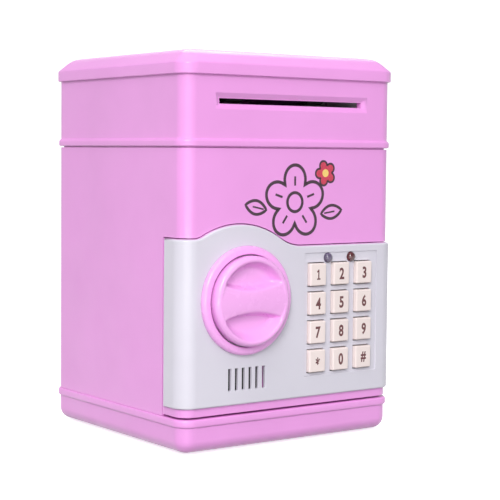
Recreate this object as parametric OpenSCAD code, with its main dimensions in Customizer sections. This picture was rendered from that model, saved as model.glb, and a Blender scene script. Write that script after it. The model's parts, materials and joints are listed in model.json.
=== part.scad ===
// Toy safe coin bank: a free-standing money box with a latched front door, a twelve-key
// pad and a motor-driven banknote feeder in the head. The front faces -Y, +Z is up, and the
// origin is on the resting plane under the centre of the whole bank, knob included. The case
// is drawn about its own centre and set back by case_y. All sizes are in millimetres.

/* [Case] */
// Width of the case across the front
body_w = 128; // [124:1:136]
// Depth of the case from front to back
body_d = 120; // [116:1:128]
// Radius of the upright corners
corner_r = 7; // [6:0.5:8]
// Wall thickness of the mouldings
wall = 2.5; // [2.2:0.1:2.8]
// Height of the top of the base
base_top = 17.4; // [17:0.1:18]
// Height of the seam between body and head
body_top = 143.8; // [142:0.2:145]
// Height of the seam between head and lid
head_top = 178; // [177:0.5:180]
// Height of the finished bank
total_h = 190; // [188:0.5:194]
// How far the moulded beads stand out
bead_out = 1.1; // [0.6:0.1:1.4]

/* [Door] */
// Height of the door's lower edge
door_z0 = 18.3; // [18.1:0.1:18.6]
// Height of the white fascia's lower edge
fascia_z0 = 22.3; // [21.5:0.1:24]
// How far the fascia stands proud of the case
fascia_out = 1.5; // [1.2:0.1:1.8]
// How far the door wraps back round the corners
door_wrap = 16.8; // [16:0.2:18]
// Height of the door's shoulder on the latch side
shoulder_left = 101.6; // [100:0.2:102]
// Height of the door's shoulder on the hinge side
shoulder_right = 96.8; // [96:0.2:97.5]
// Gap between the door and the case
door_gap = 0.45; // [0.4:0.05:0.6]

/* [Knob] */
// Sideways place of the knob
knob_x = -29.2; // [-30:0.1:-28]
// Height of the knob
knob_z = 71.9; // [71:0.1:73]
// Radius of the turning knob
knob_r = 21.5; // [20:0.5:21.5]
// How far the knob stands out from the fascia
knob_out = 7.2; // [6:0.2:8]
// Reach of the latch tongue from the knob's axis
tongue_reach = 30.8; // [30:0.1:31]

/* [Keypad] */
// Sideways pitch of the keys
key_pitch_x = 14.8; // [14.2:0.1:14.8]
// Upright pitch of the keys
key_pitch_z = 14.2; // [13.8:0.1:14.2]
// Width of a key cap
key_w = 10; // [9:0.5:10]
// Height of a key cap
key_h = 11; // [10:0.5:11]
// Travel of a key when it is pressed
key_travel = 1; // [0.6:0.1:1]

/* [Banknote feeder] */
// Width of the banknote slot
slot_w = 87; // [80:1:88]
// Height of the banknote slot's opening
slot_h = 2.6; // [2.2:0.1:3]
// Height of the slot's centre line
slot_z = 165.8; // [165.6:0.1:166]
// Radius of the feed rollers
roller_r = 6; // [5.9:0.05:6]
// Gear module
gear_m = 0.8; // [0.8:0.1:0.8]

/* [Hidden] */

arc_steps = 14;          // straight steps in a quarter turn of a moulded corner
case_y = 3.5;             // sets the case back by half of what the knob stands out
front_y = -body_d / 2;
side_x = body_w / 2;
pink = [0.93, 0.62, 0.88];
white = [0.88, 0.87, 0.90];
key_white = [0.95, 0.91, 0.89];
inner_white = [0.86, 0.86, 0.86];
steel = [0.72, 0.73, 0.75];
rubber_grey = [0.25, 0.25, 0.26];

// ---- Outlines and solids shared by several sub-parts ----

function arc(x, y, r, a0, a1, n = arc_steps) =
    [for (i = [0:n]) let (a = a0 + (a1 - a0) * i / n) [x + r * cos(a), y + r * sin(a)]];

// Plan of the case, grown by out on every side
function plan(out, r = corner_r) = let (w = side_x + out, d = body_d / 2 + out, c = max(r + out, 0.6))
    concat(arc(w - c, d - c, c, 0, 90), arc(c - w, d - c, c, 90, 180),
           arc(c - w, c - d, c, 180, 270), arc(w - c, c - d, c, 270, 360));

module placed() {
    translate([0, case_y, 0]) children();
}

module prism(points, z0, z1) {
    translate([0, 0, z0]) linear_extrude(z1 - z0) polygon(points);
}

// Draws a flat outline given in X and Z as a solid between two depths
module upright(y0, y1) {
    translate([0, y1, 0]) rotate([90, 0, 0]) linear_extrude(y1 - y0) children();
}

// Draws a flat outline given in Y and Z as a solid between two places along X
module sideways(x0, x1) {
    translate([x0, 0, 0]) rotate([90, 0, 90]) linear_extrude(x1 - x0) children();
}

// Closed solid through rings of plan outlines, each ring given as [out, z, corner radius]
module stacked(rings) {
    n = 4 * (arc_steps + 1);
    points = [for (g = rings) for (p = plan(g[0], g[2])) [p[0], p[1], g[1]]];
    last = len(rings) - 1;
    polyhedron(points, concat(
        [[for (i = [n - 1:-1:0]) n - 1 - i]],
        [[for (i = [0:n - 1]) last * n + n - 1 - i]],
        [for (k = [0:last - 1]) for (i = [0:n - 1]) let (j = (i + 1) % n, a = k * n, b = a + n)
            each [[a + i, b + i, b + j], [a + i, b + j, a + j]]]));
}

module box(x0, x1, y0, y1, z0, z1) {
    translate([x0, y0, z0]) cube([x1 - x0, y1 - y0, z1 - z0]);
}

module rod_x(x0, x1, y, z, r, steps = 48) {
    translate([x0, y, z]) rotate([0, 90, 0]) cylinder(h = x1 - x0, r = r, $fn = steps);
}

module rod_y(x, y0, y1, z, r, steps = 48) {
    translate([x, y1, z]) rotate([90, 0, 0]) cylinder(h = y1 - y0, r = r, $fn = steps);
}

module rod_z(x, y, z0, z1, r, steps = 48) {
    translate([x, y, z0]) cylinder(h = z1 - z0, r = r, $fn = steps);
}

// ---- Door outline: two level shoulders and a round hump over the knob ----

hump_x = -32.4;            // centre of the hump's arc
hump_z = 63;
hump_r = 45;
blend_left = 10;         // radius of the hollow that runs into the latch-side shoulder
blend_right = 24;        // radius of the hollow that runs into the hinge-side shoulder
hinge_x = side_x - 1.8;  // the door turns about this upright axis
hinge_y = front_y + door_wrap - 3.3;
hinge_nose = 1.8;        // radius of the door's rounded edge at the hinge
door_back = front_y + door_wrap;
door_skin = 2.4;
tray_floor = front_y + door_skin;
cover_t = 2;
cover_front = door_back - cover_t;

// Upper edge of the door, from the latch side to the hinge side, grown by out
function hump_edge(out) = let (
    sl = shoulder_left + out, sr = shoulder_right + out, r = hump_r + out,
    fl = blend_left - out, fr = blend_right - out,
    xl = hump_x - sqrt(pow(r + fl, 2) - pow(sl + fl - hump_z, 2)),
    xr = hump_x + sqrt(pow(r + fr, 2) - pow(sr + fr - hump_z, 2)),
    al = atan2(sl + fl - hump_z, xl - hump_x), ar = atan2(sr + fr - hump_z, xr - hump_x))
    concat(arc(xl, sl + fl, fl, 270, al + 180, 6),
           arc(hump_x, hump_z, r, al, ar, 24),
           arc(xr, sr + fr, fr, ar + 180, 270, 8));

function door_outline(out, z0, left, right) = concat(
    [[left, z0 - out], [left, shoulder_left + out]], hump_edge(out),
    [[right, shoulder_right + out], [right, z0 - out]]);

// Plan of the door's outer face, grown by out, with its rounded edge about the hinge axis
function door_plan(out) = let (c = corner_r + out, x = side_x + out, y = front_y - out)
    concat([[-x, door_back]], arc(c - x, y + c, c, 180, 270), arc(x - c, y + c, c, 270, 360),
           arc(hinge_x, hinge_y, hinge_nose + out, 0, 90, 8),
           [[hinge_x - 3.7, hinge_y + hinge_nose + out], [hinge_x - 3.7, door_back]]);

// ---- Base ----

foot_h = 1;
foot_in = 24;            // feet stand this far in from the sides
base_round = 6;
cell_r = 7.1;
cell_len = 50.5;
cell_z = 10;
pocket_w = 45;
pocket_len = 58;
pocket_y = 10;           // centre of the battery pocket
ear_y = pocket_y + pocket_len / 2 + 5.2;  // screw ear of the battery cover
post_x = side_x - 11;
post_y = body_d / 2 - 11;

function base_rings() = concat(
    [for (i = [0:6]) let (a = i * 15)
        [base_round * (sin(a) - 1), foot_h + base_round * (1 - cos(a)), corner_r]],
    [[0, base_top - 4, corner_r], [bead_out * 0.75, base_top - 3.6, corner_r],
     [bead_out, base_top - 2.9, corner_r], [bead_out, base_top - 1.1, corner_r],
     [bead_out * 0.7, base_top - 0.3, corner_r], [bead_out * 0.3, base_top, corner_r]]);

module hinge_boss(z0, z1) {
    box(hinge_x - 4, side_x - 0.4, hinge_y - 3.6, hinge_y + 2.8, z0, z1);
}

module base_tray() placed() color(pink) difference() {
    union() {
        difference() {
            stacked(base_rings());
            prism(plan(-wall), foot_h + 2.5, base_top + 1);
        }
        at_posts() rod_z(0, 0, foot_h + 2, 14.8, 4);
        difference() {
            box(-pocket_w / 2 - 1.6, pocket_w / 2 + 1.6, pocket_y - pocket_len / 2 - 1.6,
                pocket_y + pocket_len / 2 + 1.6, foot_h + 2, 14.8);
            box(-pocket_w / 2, pocket_w / 2, pocket_y - pocket_len / 2, pocket_y + pocket_len / 2, 0, 20);
        }
        hinge_boss(6, base_top);
    }
    rod_z(hinge_x, hinge_y, 11.8, 20, 1.01);
    at_posts() rod_z(0, 0, -1, 20, 1.7);
    at_posts() rod_z(0, 0, -1, 4.2, 3.2);
    battery_seat(0.4);
    box(-pocket_w / 2 + 1, pocket_w / 2 - 1, pocket_y - pocket_len / 2 + 1,
        pocket_y + pocket_len / 2 - 1, -1, 5);
    rod_z(0, ear_y, -1, 8, 1.3);
}

// Space of the battery cover and its screw ear in the underside, grown by gap
module battery_seat(gap) {
    w = pocket_w / 2 + 1;
    l = pocket_len / 2 + 1;
    box(-w - gap / 2, w + gap / 2, pocket_y - l - gap / 2, pocket_y + l + gap / 2,
        foot_h - gap, foot_h + 1.6);
    rod_z(0, ear_y, foot_h - gap, foot_h + 1.6, 4.2 + gap / 2);
    box(-4.2 - gap / 2, 4.2 + gap / 2, pocket_y + l - 1, ear_y, foot_h - gap, foot_h + 1.6);
}

module battery_cover() placed() color(pink) difference() {
    union() {
        battery_seat(0);
        for (i = [-3:3]) translate([0, pocket_y - 20 + i * 1.9, 0])
            box(-14, 14, -0.35, 0.35, foot_h - 0.45, foot_h);
    }
    rod_z(0, ear_y, -1, 8, 1.5);
    rod_z(0, ear_y, -1, foot_h + 0.7, 2.7);
}

// Repeats its children at the four corner posts
module at_posts() {
    for (x = [-1, 1]) for (y = [-1, 1]) translate([x * post_x, y * post_y, 0]) children();
}

module screw(x, y, z, length, head_r = 2.5, head_h = 1.4, shank_r = 1.2) {
    difference() {
        union() {
            rod_z(x, y, z, z + head_h, head_r, 32);
            rod_z(x, y, z, z + length, shank_r, 24);
        }
        for (a = [0, 90]) translate([x, y, z]) rotate([0, 0, a])
            cube([head_r * 1.1, 0.6, 1.6], center = true);
    }
}

module battery_cover_screw() placed() color(steel) screw(0, ear_y, foot_h - 0.6, 6.5, 2.3, 1.2);

module base_screws() placed() color(steel) at_posts() screw(0, 0, 2.4, 14, 2.9, 1.7, 1.4);

module rubber_feet() placed() color(rubber_grey) for (x = [-1, 1]) for (y = [-1, 1])
    translate([x * (side_x - foot_in), y * (body_d / 2 - foot_in), 0]) rotate_extrude($fn = 64)
        polygon([[0, 0], [5.4, 0], [5.9, 0.4], [6, foot_h - 0.02], [0, foot_h - 0.02]]);

module battery_cells() placed() for (i = [-1:1]) {
    a = i == 0 ? -1 : 1;
    translate([i * (cell_r * 2 + 0.3), pocket_y - a * 3, cell_z]) rotate([90 * a, 0, 0]) {
        color([0.16, 0.16, 0.18]) rod_z(0, 0, -cell_len / 2, cell_len / 2 - 1.2, cell_r, 64);
        color([0.83, 0.70, 0.35]) rod_z(0, 0, cell_len / 2 - 1.2, cell_len / 2, 2.7);
    }
}

// Plate and tapered coil at one end of each cell, and a plain plate at the other
module battery_contacts() placed() color(steel) for (i = [-1:1]) {
    a = i == 0 ? -1 : 1;
    x = i * (cell_r * 2 + 0.3);
    for (s = [-1, 1]) translate([x - 5.5, pocket_y + s * (pocket_len / 2 - 0.35) - 0.2, cell_z - 5.5])
        cube([11, 0.4, 11]);
    for (k = [0:3]) translate([x, pocket_y + a * (cell_len / 2 - 2.5 + k * 1.7), cell_z])
        rotate([90, 0, 0]) rotate_extrude($fn = 48) translate([2.4 + k * 0.75, 0]) circle(r = 0.36, $fn = 16);
}

module floor_panel() placed() color(pink) difference() {
    union() {
        prism(plan(-wall - 0.3), 14.9, base_top);
        box(-25.5, 25.5, pocket_y - 32, pocket_y + 32, 15, 20.4);
    }
    box(-pocket_w / 2 - 0.1, pocket_w / 2 + 0.1, pocket_y - pocket_len / 2 - 0.1,
        pocket_y + pocket_len / 2 + 0.1, 10, 18.4);
    box(hinge_x - 4.3, side_x + 2, hinge_y - 3.9, hinge_y + 3.1, 10, 20);
    at_posts() rod_z(0, 0, 10, 16.8, 1.41);
}

// ---- Body ----

ear_z = 141;

module body_shell() placed() color(pink) difference() {
    union() {
        difference() {
            prism(plan(0), base_top + 0.1, body_top);
            prism(plan(-wall), base_top - 1, body_top + 1);
        }
        difference() {
            prism(plan(-1.4), body_top - 5, body_top + 3.4);
            prism(plan(-3), body_top - 6, body_top + 4);
        }
        for (x = [-1, 1]) for (y = [-1, 1]) intersection() {
            translate([x * (side_x - 10), y * (body_d / 2 - 10), ear_z + 1.4])
                cube([18, 18, 2.8], center = true);
            prism(plan(-1), ear_z, ear_z + 2.8);
        }
        hinge_boss(shoulder_right + 0.6, shoulder_right + 8);
    }
    upright(front_y - 2, door_back + 0.4)
        polygon(door_outline(door_gap, base_top - 1, -side_x - 3, 0));
    upright(front_y - 2, door_back + 0.8)
        polygon(door_outline(door_gap, base_top - 1, -1, side_x + 3));
    rod_z(hinge_x, hinge_y, shoulder_right, shoulder_right + 6.6, 1.01);
    at_posts() rod_z(0, 0, ear_z - 1, ear_z + 5, 1.7);
    for (z = [-6, 6]) rod_x(-side_x + 1, -side_x + 4, door_back + 9.5, knob_z + z, 0.92);
}

// Bent plate inside the latch side, whose lip holds the tongue
strike_x = -side_x + wall;

module strike_plate() placed() color(steel) difference() {
    union() {
        box(strike_x, strike_x + 1, door_back + 0.6, door_back + 14, knob_z - 10, knob_z + 10);
        box(strike_x, strike_x + 5, door_back + 0.6, door_back + 2.8, knob_z - 10, knob_z + 10);
        for (z = [-6, 6]) rod_x(strike_x - 1.2, strike_x + 1.5, door_back + 9.5, knob_z + z, 0.9);
        for (z = [-6, 6]) rod_x(strike_x + 1, strike_x + 1.35, door_back + 9.5, knob_z + z, 1.9);
    }
    rod_x(strike_x - 1, strike_x + 3, door_back + 9.5, knob_z, 1.2);
}

module hinge_pins() placed() color(steel) {
    rod_z(hinge_x, hinge_y, 12, door_z0 + 6, 1);
    rod_z(hinge_x, hinge_y, shoulder_right - 6, shoulder_right + 6.4, 1);
}

// ---- Head, deck and lid ----

deck_z = body_top + 0.1;
deck_t = 2;

module head_screws() placed() color(steel) at_posts() screw(0, 0, ear_z - 1.6, 16, 2.9, 1.6, 1.4);

module mid_deck() placed() color(inner_white) difference() {
    union() {
        prism(plan(-wall - 0.8), deck_z, deck_z + deck_t);
        difference() {
            box(-52, 52, -10, 44, deck_z, deck_z + 5);
            box(-50.4, 50.4, -8.4, 42.4, deck_z - 1, deck_z + 6);
        }
    }
    box(-50, 50, -8, 42, deck_z - 1, deck_z + 4);
    at_posts() rod_z(0, 0, deck_z - 1, deck_z + 4, 1.7);
}

function head_rings() = [[bead_out * 0.7, body_top + 0.7, corner_r], [bead_out, body_top + 1.2, corner_r],
    [bead_out, body_top + 3.2, corner_r], [bead_out * 0.6, body_top + 4, corner_r],
    [0, body_top + 4.4, corner_r], [0, head_top + 0.6, corner_r]];

module head_shell() placed() color(pink) difference() {
    union() {
        difference() {
            stacked(head_rings());
            prism(plan(-1.1), body_top, body_top + 3.8);
            prism(plan(-wall), body_top + 3, head_top + 2);
        }
        box(-slot_w / 2 - 4, slot_w / 2 + 4, front_y + 1, front_y + 4.4, slot_z - 5.5, slot_z + 5.5);
        at_posts() rod_z(0, 0, deck_z + deck_t + 0.1, 160, 3.6);
        for (x = [-1, 1]) for (y = [-1, 1]) for (turn = [-45, 45]) intersection() {
            translate([x * (post_x + 4), y * (post_y + 4), 153.8]) rotate([0, 0, turn])
                cube([1.6, 14, 12], center = true);
            prism(plan(-1), 140, 170);
        }
    }
    box(-slot_w / 2, slot_w / 2, front_y - 1, front_y + 6, slot_z - slot_h / 2, slot_z + slot_h / 2);
    hull() {
        box(-slot_w / 2 - 3, slot_w / 2 + 3, front_y - 0.1, front_y, slot_z - 3.8, slot_z + 3.8);
        box(-slot_w / 2 - 0.6, slot_w / 2 + 0.6, front_y + 1.4, front_y + 1.5,
            slot_z - slot_h / 2 - 0.3, slot_z + slot_h / 2 + 0.3);
    }
    at_posts() rod_z(0, 0, deck_z, 158, 1.41);
}

lid_out = 1.6;
coin_y = 22;
coin_w = 32;
coin_h = 3.4;

// Outer face of the lid from the lip to the flat top, as [inset from the lip, drop from the top]
lid_profile = [[0.3, 12.1], [0, 11.8], [0, 7.2], [0.25, 6.7], [0.9, 6], [4.3, 2.9], [5.2, 2.2], [6.6, 1.3],
    [8.4, 0.6], [11, 0.15], [13, 0]];

module lid() placed() color(pink) difference() {
    union() {
        difference() {
            stacked([for (p = lid_profile) [lid_out - p[0], total_h - p[1], corner_r + p[0] * 0.35]]);
            prism(plan(0.2), head_top - 2, head_top + 0.8);
            prism(plan(-wall), head_top - 2, head_top + 4.6);
            prism(plan(-wall - 5), head_top - 2, total_h - 2.4);
        }
        difference() {
            prism(plan(-wall - 0.3), head_top - 4, head_top + 5);
            prism(plan(-wall - 1.7), head_top - 5, head_top + 5.1);
        }
    }
    box(-coin_w / 2, coin_w / 2, coin_y - coin_h / 2, coin_y + coin_h / 2, total_h - 6, total_h + 1);
    hull() {
        box(-coin_w / 2 - 2, coin_w / 2 + 2, coin_y - coin_h / 2 - 2, coin_y + coin_h / 2 + 2,
            total_h, total_h + 0.1);
        box(-coin_w / 2 - 0.4, coin_w / 2 + 0.4, coin_y - coin_h / 2 - 0.4, coin_y + coin_h / 2 + 0.4,
            total_h - 1.2, total_h - 1.1);
    }
}

// ---- Banknote feeder ----

drive_y = -42;
drive_z = slot_z + 0.2 + roller_r;
idler_z = slot_z - 0.1 - roller_r;
gear_dist = gear_m * (12 + 24) / 2;
mesh_a = -20;            // direction from the drive shaft to the reduction gear
mesh_b = -60;            // direction from the reduction gear to the motor pinion
red_y = drive_y + gear_dist * cos(mesh_a);
red_z = drive_z + gear_dist * sin(mesh_a);
motor_y = red_y + gear_dist * cos(mesh_b);
motor_z = red_z + gear_dist * sin(mesh_b);
cheek_x = 47;
cheek_t = 2;
gear_x1 = 50.5;          // first pair of gears
gear_x2 = 54;            // second pair of gears
tyre_x = 25;
guide_x = cheek_x - cheek_t / 2 - 0.2;

// Involute spur gear: angles are in degrees and the tooth is thinned for backlash
function inv(a) = tan(a) * 180 / PI - a;
function half_tooth(teeth, rho) = let (r = gear_m * teeth / 2, rb = r * cos(20))
    90 / teeth - 0.07 / r * 180 / PI + inv(20) - (rho > rb ? inv(acos(rb / rho)) : 0);
function gear_points(teeth, phase) = let (r = gear_m * teeth / 2, rb = r * cos(20), tip = r + 0.8 * gear_m,
    root = r - 1.08 * gear_m, start = max(rb, root),
    flank = [root, start, (start + r) / 2, r, (r + tip) / 2, tip])
    [for (t = [0:teeth - 1]) let (c = phase + t * 360 / teeth) each concat(
        [for (rho = flank) let (a = c - half_tooth(teeth, rho)) rho * [cos(a), sin(a)]],
        [for (k = [len(flank) - 1:-1:0]) let (rho = flank[k], a = c + half_tooth(teeth, rho))
            rho * [cos(a), sin(a)]])];
// Phase of a gear that meshes with a neighbour whose own phase is known, direction being towards it
function mesh_phase(direction, teeth, phase, next_teeth) =
    direction + 180 + (180 - (phase - direction) * teeth) / next_teeth;

drive_phase = 0;
red_small_phase = mesh_phase(mesh_a, 24, drive_phase, 12);
red_large_phase = red_small_phase;
pinion_phase = mesh_phase(mesh_b, 24, red_large_phase, 12);

module gear(y, z, x0, x1, teeth, phase) {
    translate([0, y, z]) sideways(x0, x1) polygon(gear_points(teeth, phase));
}

module motor_screws() for (a = [0, 180]) {
    y = motor_y + 5 * cos(a);
    z = motor_z + 5 * sin(a);
    rod_x(cheek_x - cheek_t / 2 - 1.5, cheek_x + cheek_t / 2 + 0.8, y, z, 0.8);
    rod_x(cheek_x + cheek_t / 2, cheek_x + cheek_t / 2 + 0.9, y, z, 1.5);
}

module feeder_frame() placed() color(inner_white) difference() {
    union() {
        for (s = [-1, 1]) {
            box(s * cheek_x - cheek_t / 2, s * cheek_x + cheek_t / 2, front_y + 5, -11,
                deck_z + deck_t + 0.1, drive_z + 5);
            box(min(s * cheek_x, s * (cheek_x + 6)), max(s * cheek_x, s * (cheek_x + 6)), -20, -12,
                deck_z + deck_t + 0.1, deck_z + deck_t + 2);
        }
        box(-cheek_x, cheek_x, -14, -11.4, drive_z + 1, drive_z + 5);
        box(-cheek_x, cheek_x, front_y + 5, front_y + 7, drive_z + 1, drive_z + 5);
    }
    rod_x(-cheek_x - 3, cheek_x + 3, drive_y, drive_z, 1.56);
    rod_x(-cheek_x - 3, cheek_x + 3, drive_y, idler_z, 1.56);
    rod_x(cheek_x - 3, cheek_x + 3, red_y, red_z, 1.01);
    rod_x(cheek_x - 3, cheek_x + 3, motor_y, motor_z, 3.3);
    for (a = [0, 180]) rod_x(cheek_x - 3, cheek_x + 3, motor_y + 5 * cos(a), motor_z + 5 * sin(a), 0.82);
}

module note_guide() placed() color(inner_white) difference() {
    union() {
        box(-guide_x, guide_x, front_y + 4.6, -12, slot_z - 3.4, slot_z - 2);
        for (s = [-1, 0, 1]) box(s * 38 - 0.6, s * 38 + 0.6, front_y + 4.8, -12, slot_z - 2.1, slot_z - 1.3);
        box(-guide_x, guide_x, -13.2, -12, slot_z - 14, slot_z - 3);
    }
    for (s = [-1, 1]) box(s * tyre_x - 7, s * tyre_x + 7, drive_y - 6.6, drive_y + 6.6, slot_z - 5, slot_z);
}

module feeder_motor() placed() color(steel) {
    intersection() {
        rod_x(cheek_x - 23.1, cheek_x - 1.1, motor_y, motor_z, 7.5);
        box(0, 60, motor_y - 6, motor_y + 6, motor_z - 10, motor_z + 10);
    }
    rod_x(cheek_x - 1.2, cheek_x + 0.6, motor_y, motor_z, 3);
    rod_x(cheek_x - 24.6, cheek_x - 23, motor_y, motor_z, 2.4);
    motor_screws();
}

module gear_pin() placed() color(steel) rod_x(cheek_x - 1, gear_x2 + 4.2, red_y, red_z, 1);

module note_sensor() placed() color([0.12, 0.12, 0.13]) {
    box(-4, 4, front_y + 7, front_y + 11.5, slot_z - 8.2, slot_z - 3.4);
    box(-4, 4, front_y + 7, front_y + 11.5, slot_z + 2, drive_z + 4);
}

module drive_shaft() placed() color(steel) rod_x(-cheek_x - 3, gear_x2 + 4, drive_y, drive_z, 1.5);

module tyres(z) {
    for (s = [-1, 1]) difference() {
        rod_x(s * tyre_x - 5, s * tyre_x + 5, drive_y, z, roller_r, 64);
        rod_x(s * tyre_x - 6, s * tyre_x + 6, drive_y, z, 1.51);
    }
}

module drive_tyres() placed() color(rubber_grey) tyres(drive_z);

module roller_gear() placed() color(inner_white) difference() {
    union() {
        gear(drive_y, drive_z, gear_x2, gear_x2 + 3, 24, drive_phase);
        rod_x(gear_x2 + 2, gear_x2 + 4, drive_y, drive_z, 3);
    }
    rod_x(gear_x2 - 1, gear_x2 + 5, drive_y, drive_z, 1.51);
}

module idler_shaft() placed() color(steel) rod_x(-cheek_x - 3, cheek_x + 2.4, drive_y, idler_z, 1.5);

module idler_tyres() placed() color([0.85, 0.85, 0.83]) tyres(idler_z);

module reduction_gear() placed() color(inner_white) difference() {
    union() {
        gear(red_y, red_z, gear_x1, gear_x1 + 3, 24, red_large_phase);
        gear(red_y, red_z, gear_x1 + 2.5, gear_x2 + 3.4, 12, red_small_phase);
    }
    rod_x(gear_x1 - 1, gear_x2 + 6, red_y, red_z, 1.05);
}

module motor_pinion() placed() color([0.80, 0.66, 0.32]) union() {
    gear(motor_y, motor_z, gear_x1 - 0.4, gear_x1 + 3, 12, pinion_phase);
    rod_x(cheek_x + 0.8, gear_x1 + 3.4, motor_y, motor_z, 1);
}

// ---- Door ----

pad_x0 = 6.8;            // edges of the shallow keypad recess
pad_x1 = 53;
pad_z0 = 32.6;
pad_z1 = 93;
pad_deep = 0.5;
key_x = 28.7;            // middle column
key_z = 82.4;            // top row
led_z = 90.4;
key_gap = 0.3;           // room beside a key in its window
key_slit = 0.5;          // room above and below it
grille_x = -28.1;
grille_z = 34.6;
boss_places = [[-56, 27], [-56, 92], [0, 27], [0, 88], [53.4, 27], [54.2, 88]];

module door_shell() placed() color(pink) difference() {
    union() {
        difference() {
            intersection() {
                prism(door_plan(0), door_z0 - 1, 120);
                upright(front_y - 2, door_back + 2)
                    polygon(door_outline(0, door_z0, -side_x - 3, side_x + 3));
            }
            intersection() {
                prism(plan(-door_skin), door_z0 - 1, 120);
                upright(tray_floor, door_back + 2)
                    polygon(door_outline(-2.2, door_z0, -side_x - 3, side_x - 6.5));
            }
        }
        for (p = boss_places) rod_y(p[0], tray_floor - 1, cover_front - 0.05, p[1], 3);
        difference() {
            rod_y(grille_x, tray_floor - 0.5, tray_floor + 3, grille_z, 15, 64);
            rod_y(grille_x, tray_floor - 1, tray_floor + 4, grille_z, 13.7, 64);
        }
    }
    for (p = boss_places) rod_y(p[0], tray_floor + 2, door_back, p[1], 1.21);
    rod_z(hinge_x, hinge_y, door_z0 - 1, door_z0 + 6.6, 1.05);
    rod_z(hinge_x, hinge_y, shoulder_right - 6.6, shoulder_right + 1, 1.05);
    box(pad_x0 - 0.4, 49.9, front_y - 2, tray_floor + 0.5, 33.2, 94);
    rod_y(knob_x, front_y - 2, tray_floor + 2, knob_z, 8.06);
    box(grille_x - 11.4, grille_x + 11.4, front_y - 2, tray_floor + 1, grille_z - 6, grille_z + 6);
}

module door_fascia() placed() color(white) difference() {
    intersection() {
        difference() {
            prism(door_plan(fascia_out), fascia_z0, 120);
            prism(door_plan(0.05), fascia_z0 - 1, 121);
            box(-side_x - 5, -side_x + 20, door_back - 2.2, door_back + 5, 0, 130);
            box(hinge_x - 8, hinge_x + 1.2, hinge_y, hinge_y + 6, 0, 130);
        }
        upright(front_y - 5, door_back + 2)
            polygon(door_outline(-0.2, fascia_z0 - 0.2, -side_x - 5, side_x + 5));
    }
    box(pad_x0, pad_x1, front_y - 5, front_y - fascia_out + pad_deep, pad_z0, pad_z1);
    for (row = [0:3]) for (col = [-1:1])
        translate([key_x + col * key_pitch_x, 0, key_z - row * key_pitch_z])
            box(-key_w / 2 - key_gap, key_w / 2 + key_gap, front_y - 5, front_y + 1,
                -key_h / 2 - key_slit, key_h / 2 + key_slit);
    for (s = [-1, 1]) rod_y(key_x + s * key_pitch_x / 2, front_y - 5, front_y + 1, led_z, 2.6);
    for (i = [0:5]) box(grille_x + (i - 2.5) * 4 - 0.9, grille_x + (i - 2.5) * 4 + 0.9,
        front_y - 5, front_y + 1, grille_z - 5.25, grille_z + 5.25);
    rod_y(knob_x, front_y - 5, front_y + 1, knob_z, 8.3);
}

face_y = front_y - fascia_out;

// Turns a profile of radius and height into a round solid about a line along -Y
module turned(x, z, y = face_y, steps = 96) {
    translate([x, y, z]) rotate([90, 0, 0]) rotate_extrude($fn = steps) children();
}

module knob_ring() placed() color(pink) turned(knob_x, knob_z)
    polygon(concat([[22, 0], [26, 0], [26, 1.1]], arc(24.4, 1.2, 1.6, 0, 90, 6), [[22.7, 2.7], [22, 2.1]]));

module knob() placed() color(pink) difference() {
    union() {
        turned(knob_x, knob_z) polygon(concat([[0, 0.4], [knob_r, 0.4]],
            arc(knob_r - 2.2, knob_out - 2.2, 2.2, 0, 90, 6), [[0, knob_out]]));
        rod_y(knob_x, face_y - 1, tray_floor + 0.5, knob_z, 8);
        rod_y(knob_x, tray_floor, door_back + 6.2, knob_z, 4);
    }
    for (s = [0, 180]) translate([knob_x, face_y, knob_z]) rotate([90, s, 0]) hull() {
        translate([0, 0, knob_out]) linear_extrude(0.5) scoop(18.2, 5.6);
        translate([0, 0, knob_out - 4.4]) linear_extrude(0.1) scoop(14.4, 7.2);
    }
    rod_y(knob_x, door_back, door_back + 7, knob_z, 1.21);
}

// Finger scoop: a circle's segment on one side of the grip bar
module scoop(r, from) {
    a = asin(from / r);
    polygon(arc(0, 0, r, a, 180 - a, 20));
}

module knob_screw() placed() color(steel) translate([knob_x, door_back + 7.7, knob_z]) rotate([90, 0, 0])
    screw(0, 0, 0, 6, 3.4, 1.4);

cam_y = tray_floor + 4.5;
cam_r = 8.5;

module latch_cam() placed() color(inner_white) difference() {
    rod_y(knob_x, cam_y, cam_y + 3, knob_z, cam_r, 64);
    rod_y(knob_x, cam_y - 1, cam_y + 4, knob_z, 4.02);
    box(knob_x - 1.9, knob_x + 1.9, cam_y - 1, cam_y + 4, knob_z + 5.5, knob_z + 12);
    box(knob_x + 5.5, knob_x + 12, cam_y - 1, cam_y + 4, knob_z - 1.9, knob_z + 1.9);
}

module latch_tongue() placed() color(steel) difference() {
    union() {
        rod_y(knob_x, door_back + 3.6, door_back + 6.1, knob_z, 7);
        box(knob_x - 4.5, knob_x + 4.5, door_back + 3.6, door_back + 6.1,
            knob_z, knob_z + tongue_reach - 4.5);
        rod_y(knob_x, door_back + 3.6, door_back + 6.1, knob_z + tongue_reach - 4.5, 4.5);
    }
    rod_y(knob_x, door_back + 3, door_back + 7, knob_z, 4.02);
}

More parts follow.
